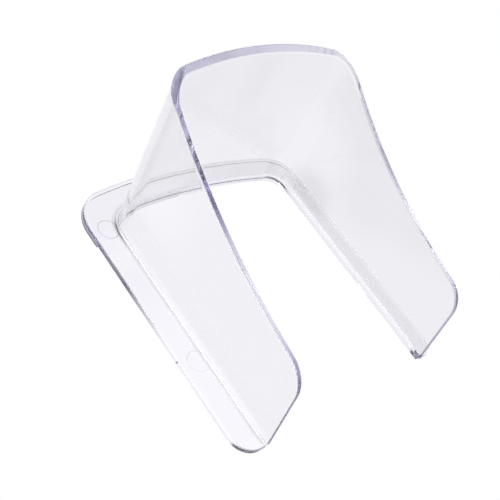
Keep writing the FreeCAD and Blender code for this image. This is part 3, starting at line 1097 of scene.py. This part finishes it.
    def tints(self, rings: np.ndarray, start: dict[Band, int]) -> np.ndarray:
        """Painted shade and painted highlights at each point of the rings, over the plastic's even
        tint.

        A painted shade is 1 minus its depth times its share times what its colour takes away, and
        its depth is read off a line through its spots at the point's y. On the legs' near side
        and the roof the rim's inner rounding carries a painted highlight, clearer than the wall. On
        the far leg it fades into the rim's painted shade, the outer rounding has the rim's own
        painted shade, and the flange's edge carries a painted highlight.

        Args:
            rings: (n, m, 3) points of the rings.
            start: first column of each band.

        Returns:
            (n, m, 3) colours.
        """
        tints = np.ones(rings.shape)
        # Painted shade: dark lines along the rim, the flange's front edge and the wall's root.
        for edge in self.painted_edge_shades:
            middle = start[edge.band] + edge.middle
            x, y = rings[:, middle, 0], rings[:, middle, 1]
            depth = np.interp(y, *np.array(edge.depths).T)
            depth = depth * np.where((x > 0) & (y > self.tight_y), edge.far_leg, 1)
            columns = middle - edge.before + np.arange(len(edge.shares))
            amount = (depth[:, None] * np.array(edge.shares))[..., None]
            tints[:, columns] = 1 - amount * (1 - np.array(edge.tint))
        # Painted highlight on the near rim's inner rounding; on the far leg, the rim's painted shade
        # on both roundings and a painted highlight on the flange's edge.
        inside, outside = start[Band.RIM_INSIDE], start[Band.RIM_OUTSIDE]
        x, y = rings[:, outside - 1, 0], rings[:, outside - 1, 1]
        near = (x < 0) | (y > self.lower.shoulder)
        flat = tints[~near, outside:outside + 1]
        tints[near, inside + 1:outside - 3] = self.near_rounding_highlight
        tints[~near, inside + 3:outside - 2] = flat ** self.far_rim_shade_power
        tints[~near, outside + 1:start[Band.OUTER_WALL] - 1] = flat
        tints[~near, start[Band.FRONT_EDGE] - 1:start[Band.BACK_EDGE] + 4] = self.far_edge_highlight
        return tints

    def build(self) -> bpy.types.Object:
        """Hood as one closed mesh, with its left half the mirror of its right.

        Returns:
            The hood, standing for the CAD node.
        """
        bands = self.bands()
        widths = [points.shape[1] for points in bands.values()]
        start = dict(zip(bands, np.cumsum([0] + widths).tolist()))
        half = np.concatenate(list(bands.values()), 1)
        rings = np.concatenate([half, half[-2::-1] * [-1, 1, 1]])
        mesh = closed_tube("clear_hood", rings * MM, self.tints(rings, start))
        return stand_for("hood", mesh)

    def dress(self, piece: bpy.types.Object, finish: ClearPlastic) -> None:
        """Gives the hood its plastic, with painted shade on the outlines of the ejector marks.

        Args:
            piece: the hood.
            finish: its plastic.
        """
        pins = [(x * MM, (self.foot + from_foot) * MM) for x, from_foot in self.ejectors]
        piece.data.materials.append(finish.material(pins, self.ejector_radius * MM))


# ------------------------------------------------------------------ the adhesive

@dataclass
class AdhesiveStrips:
    """Three clear adhesive strips that fill the recess behind the flange."""

    flange: ArchOutline
    foot: float
    thickness: float
    gap: float = 0.03
    width: float = 9.8
    inset: float = 1.6
    corner: float = 1.5
    leg_start: float = 5.0
    leg_length: float = 78.0
    top_start: float = 86.0
    soft: float = 0.12
    corner_steps: int = 6
    curve_points: int = 24

    def leg_outline(self, leg: Leg) -> np.ndarray:
        """Rounded rectangle behind one leg: four centres, each plus radius times (cos, sin).

        Args:
            leg: which leg.

        Returns:
            (n, 2) points round its edge.
        """
        far = self.flange.half - self.inset
        low = np.array([far - self.width, self.foot + self.leg_start]) + self.corner
        high = np.array([far, self.foot + self.leg_start + self.leg_length]) - self.corner
        centres = ((high[0], high[1]), (low[0], high[1]), (low[0], low[1]), (high[0], low[1]))
        quarters = []
        for turn, centre in enumerate(centres):
            spin = quarter_turn(self.corner_steps) + turn * math.pi / 2
            spot = np.stack([np.cos(spin), np.sin(spin)], -1)
            quarters.append(np.array(centre) + self.corner * spot)
        return np.concatenate(quarters) * [leg.value, 1]

    def arch_edge(self, inset: float) -> np.ndarray:
        """Half of the top strip's edge, from its foot to the middle.

        Args:
            inset: how far inside the flange's outline.

        Returns:
            (n, 2) points.
        """
        arch = ArchOutline(self.flange.half - inset, self.flange.top - inset,
                           self.flange.arch - inset, self.flange.corner - inset)
        foot = np.array([[arch.half, self.foot + self.top_start + self.corner]])
        share = np.linspace(0, 1, self.curve_points)
        return np.concatenate([foot, arch.points(Stretch.CORNER, share),
                               arch.points(Stretch.ARCH, share[1:])])

    def top_outline(self) -> np.ndarray:
        """Arched strip: its outer edge down, its rounded foot, its inner edge up, mirrored.

        Returns:
            (n, 2) points round its edge.
        """
        angle = quarter_turn(self.corner_steps)[1:]
        centre_y = self.foot + self.top_start + self.corner
        outer, inner = self.arch_edge(self.inset), self.arch_edge(self.inset + self.width)
        turned = np.stack([np.cos(angle), -np.sin(angle)], -1) * self.corner
        far = np.array([outer[0, 0] - self.corner, centre_y]) + turned
        near = (np.array([inner[0, 0] + self.corner, centre_y]) + turned * [-1, 1])[::-1]
        half = np.concatenate([outer[::-1], far, near, inner[1:]])
        return np.concatenate([half, half[-2:0:-1] * [-1, 1]])

    def slab(self, name: str, outline: np.ndarray) -> bpy.types.Mesh:
        """Flat slab with slightly soft edges: its outline at four heights, set in at the ends.

        Args:
            name: name of the mesh.
            outline: (n, 2) points round it.

        Returns:
            The closed mesh.
        """
        ahead = np.roll(outline, -1, axis=0) - np.roll(outline, 1, axis=0)
        out = unit(np.stack([ahead[:, 1], -ahead[:, 0]], -1))
        x, y = outline[:, 0], outline[:, 1]
        turning = (x * np.roll(y, -1) - np.roll(x, -1) * y).sum()
        out *= np.sign(turning)
        top = self.thickness - self.gap
        levels = ((self.gap, self.soft), (self.gap + self.soft, 0.0), (top - self.soft, 0.0),
                  (top, self.soft))
        rings = np.stack([np.concatenate([outline - out * inset, np.full((len(out), 1), z)], -1)
                          for z, inset in levels])
        return closed_tube(name, rings * MM)

    def build(self) -> list[bpy.types.Object]:
        """The three strips.

        Returns:
            The strips, each standing for its CAD node.
        """
        outlines = {
            "adhesive_strip_left": self.leg_outline(Leg.LEFT),
            "adhesive_strip_right": self.leg_outline(Leg.RIGHT),
            "adhesive_strip_top": self.top_outline(),
        }
        return [stand_for(node, self.slab("clear_" + node, outline))
                for node, outline in outlines.items()]

    def dress(self, strips: list[bpy.types.Object], finish: ClearAdhesive) -> None:
        """Gives every strip the clear adhesive.

        Args:
            strips: the strips.
            finish: their adhesive.
        """
        material = finish.material()
        for strip in strips:
            strip.data.materials.append(material)


# ------------------------------------------------------------------ the studio

@dataclass(frozen=True)
class RoomPatch:
    """Round patch of the room: its middle, the cosines over which its level changes, and
    the level outside it and in it."""

    way: Spot
    span: Span
    levels: Span


@dataclass
class Studio:
    """White paper sweep in a pale room, and the camera.

    The room is brighter overhead, has a dark flag on one side and two bright softboxes. The
    camera sees white paper, and a second sheet of shaded paper takes its place in and through
    the plastic. Lengths are in metres.
    """

    paper_size: float = 3.0
    paper_gap: float = 0.0002
    sweep_radius: float = 4.0
    sweep_turns: int = 48
    sweep_rises: int = 24
    seen: Colour = (1.0, 1.0, 1.0)
    shaded: Colour = (0.985, 0.976, 1.02)
    room_tint: Colour = (0.95, 0.95, 1.0)
    overhead_span: Span = (0.75, 0.95)
    overhead_levels: Span = (0.95, 1.4)
    flag: RoomPatch = RoomPatch((0.41, 0.71, 0.57), (0.865, 0.93), (1.0, 0.15))
    softboxes: tuple[RoomPatch, ...] = (
        RoomPatch((0.95, 0.31, 0.04), (0.955, 0.98), (0.0, 4.5)),
        RoomPatch((-0.10, 0.31, 0.94), (0.94, 0.97), (0.0, 3.2)))
    camera_place: Spot = (-0.23348, -0.09323, 0.22460)
    camera_right: Spot = (0.68426, -0.56477, 0.46132)
    camera_up: Spot = (0.22592, 0.76567, 0.60226)
    lens: float = 61.97
    sensor: float = 36.0
    clip: Span = (0.01, 50.0)
    transmission_bounces: int = 32
    glossy_bounces: int = 48
    max_bounces: int = 64

    def sheet(self, name: str, finish: LitPaper, to_camera: bool) -> bpy.types.Object:
        """Flat sheet just under the hood.

        Args:
            name: name of the sheet.
            finish: its paper.
            to_camera: whether it shows itself, or shows in and through the plastic.

        Returns:
            The sheet.
        """
        half, z = self.paper_size, -self.paper_gap
        edge = np.array([(-half, -half, z), (half, -half, z), (half, half, z), (-half, half, z)])
        mesh = bpy.data.meshes.new(name)
        mesh.from_pydata(edge, [], [(0, 1, 2, 3)])
        return self.stand(place(name, mesh), finish, to_camera)

    def sweep(self, finish: LitPaper) -> bpy.types.Object:
        """Round backdrop: a sphere of latitude and longitude, seen from inside.

        Args:
            finish: its paper.

        Returns:
            The backdrop.
        """
        turn, rise = np.meshgrid(np.linspace(0, 2 * math.pi, self.sweep_turns + 1)[:-1],
                                 np.linspace(-math.pi / 2, math.pi / 2, self.sweep_rises + 1))
        way = np.stack([np.cos(rise) * np.cos(turn), np.cos(rise) * np.sin(turn), np.sin(rise)], -1)
        mesh = closed_tube("sweep", self.sweep_radius * way)
        return self.stand(place("sweep", mesh), finish, True)

    def stand(self, item: bpy.types.Object, finish: LitPaper, to_camera: bool) -> bpy.types.Object:
        """Dresses a part of the studio and says which light it takes part in.

        Args:
            item: the part.
            finish: its paper.
            to_camera: whether it shows itself, or shows in and through the plastic.

        Returns:
            The part.
        """
        item.data.materials.append(finish.material())
        item.visible_camera = to_camera
        for use in ("diffuse", "glossy", "transmission"):
            setattr(item, "visible_" + use, not to_camera)
        return item

    def patch(self, nodes: Nodes, direction: bpy.types.NodeSocket, patch: RoomPatch,
              ) -> bpy.types.NodeSocket:
        """Level of a round patch of the room in each direction.

        Args:
            nodes: the world's node tree.
            direction: the direction.
            patch: the patch.

        Returns:
            The socket with the level.
        """
        facing = nodes.measure("DOT_PRODUCT", direction, Vector(patch.way).normalized())
        return nodes.spread(facing, patch.span, patch.levels)

    def room(self) -> None:
        """Room round the bench: brighter overhead, times the dark flag, plus the softboxes."""
        world = bpy.data.worlds.new("studio")
        bpy.context.scene.world = world
        nodes = Nodes(world)
        direction = nodes.add("ShaderNodeTexCoord").outputs["Generated"]
        up = nodes.add("ShaderNodeSeparateXYZ", direction).outputs["Z"]
        level = nodes.maths("MULTIPLY", nodes.spread(up, self.overhead_span, self.overhead_levels),
                            self.patch(nodes, direction, self.flag))
        for softbox in self.softboxes:
            level = nodes.maths("ADD", level, self.patch(nodes, direction, softbox))
        sky = nodes.add("ShaderNodeBackground", (*self.room_tint, 1), level)
        nodes.add("ShaderNodeOutputWorld", sky.outputs["Background"])

    def camera(self) -> bpy.types.Object:
        """Camera with its right, up and backward directions as its matrix columns.

        Returns:
            The camera.
        """
        data = bpy.data.cameras.new("camera")
        data.lens = self.lens
        data.sensor_width = self.sensor
        data.clip_start, data.clip_end = self.clip
        camera = place("camera", data)
        right, up = Vector(self.camera_right).normalized(), Vector(self.camera_up).normalized()
        back = right.cross(up).normalized()
        turn = Matrix((right, back.cross(right), back)).transposed()
        camera.matrix_world = Matrix.Translation(self.camera_place) @ turn.to_4x4()
        bpy.context.scene.camera = camera
        return camera

    def light_paths(self) -> None:
        """Lets light cross the thin walls and bounce inside them until it gets out."""
        scene = bpy.context.scene
        scene.view_settings.view_transform = "Standard"
        scene.cycles.transmission_bounces = self.transmission_bounces
        scene.cycles.glossy_bounces = self.glossy_bounces
        scene.cycles.max_bounces = self.max_bounces

    def build(self) -> None:
        """Sets up the whole studio."""
        self.sheet("paper", LitPaper("white_paper", self.seen), True)
        self.sheet("paper_shade", LitPaper("shaded_paper", self.shaded), False)
        self.sweep(LitPaper("white_sweep", self.seen))
        self.room()
        self.camera()
        self.light_paths()


def report(piece: bpy.types.Object) -> None:
    """Logs a piece's name and how fine its mesh is."""
    log.info("%s: %d vertices, %d faces", piece.name, len(piece.data.vertices),
             len(piece.data.polygons))


def main() -> None:
    """Builds the hood, its adhesive and the studio."""
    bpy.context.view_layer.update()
    hood = HoodMoulding()
    piece = hood.build()
    hood.dress(piece, ClearPlastic())
    report(piece)
    adhesive = AdhesiveStrips(hood.flange, hood.foot, hood.back)
    strips = adhesive.build()
    adhesive.dress(strips, ClearAdhesive())
    for strip in strips:
        report(strip)
    Studio().build()
    log.info("studio: paper, room and camera")
    bpy.context.view_layer.update()


if __name__ == "__main__":
    main()
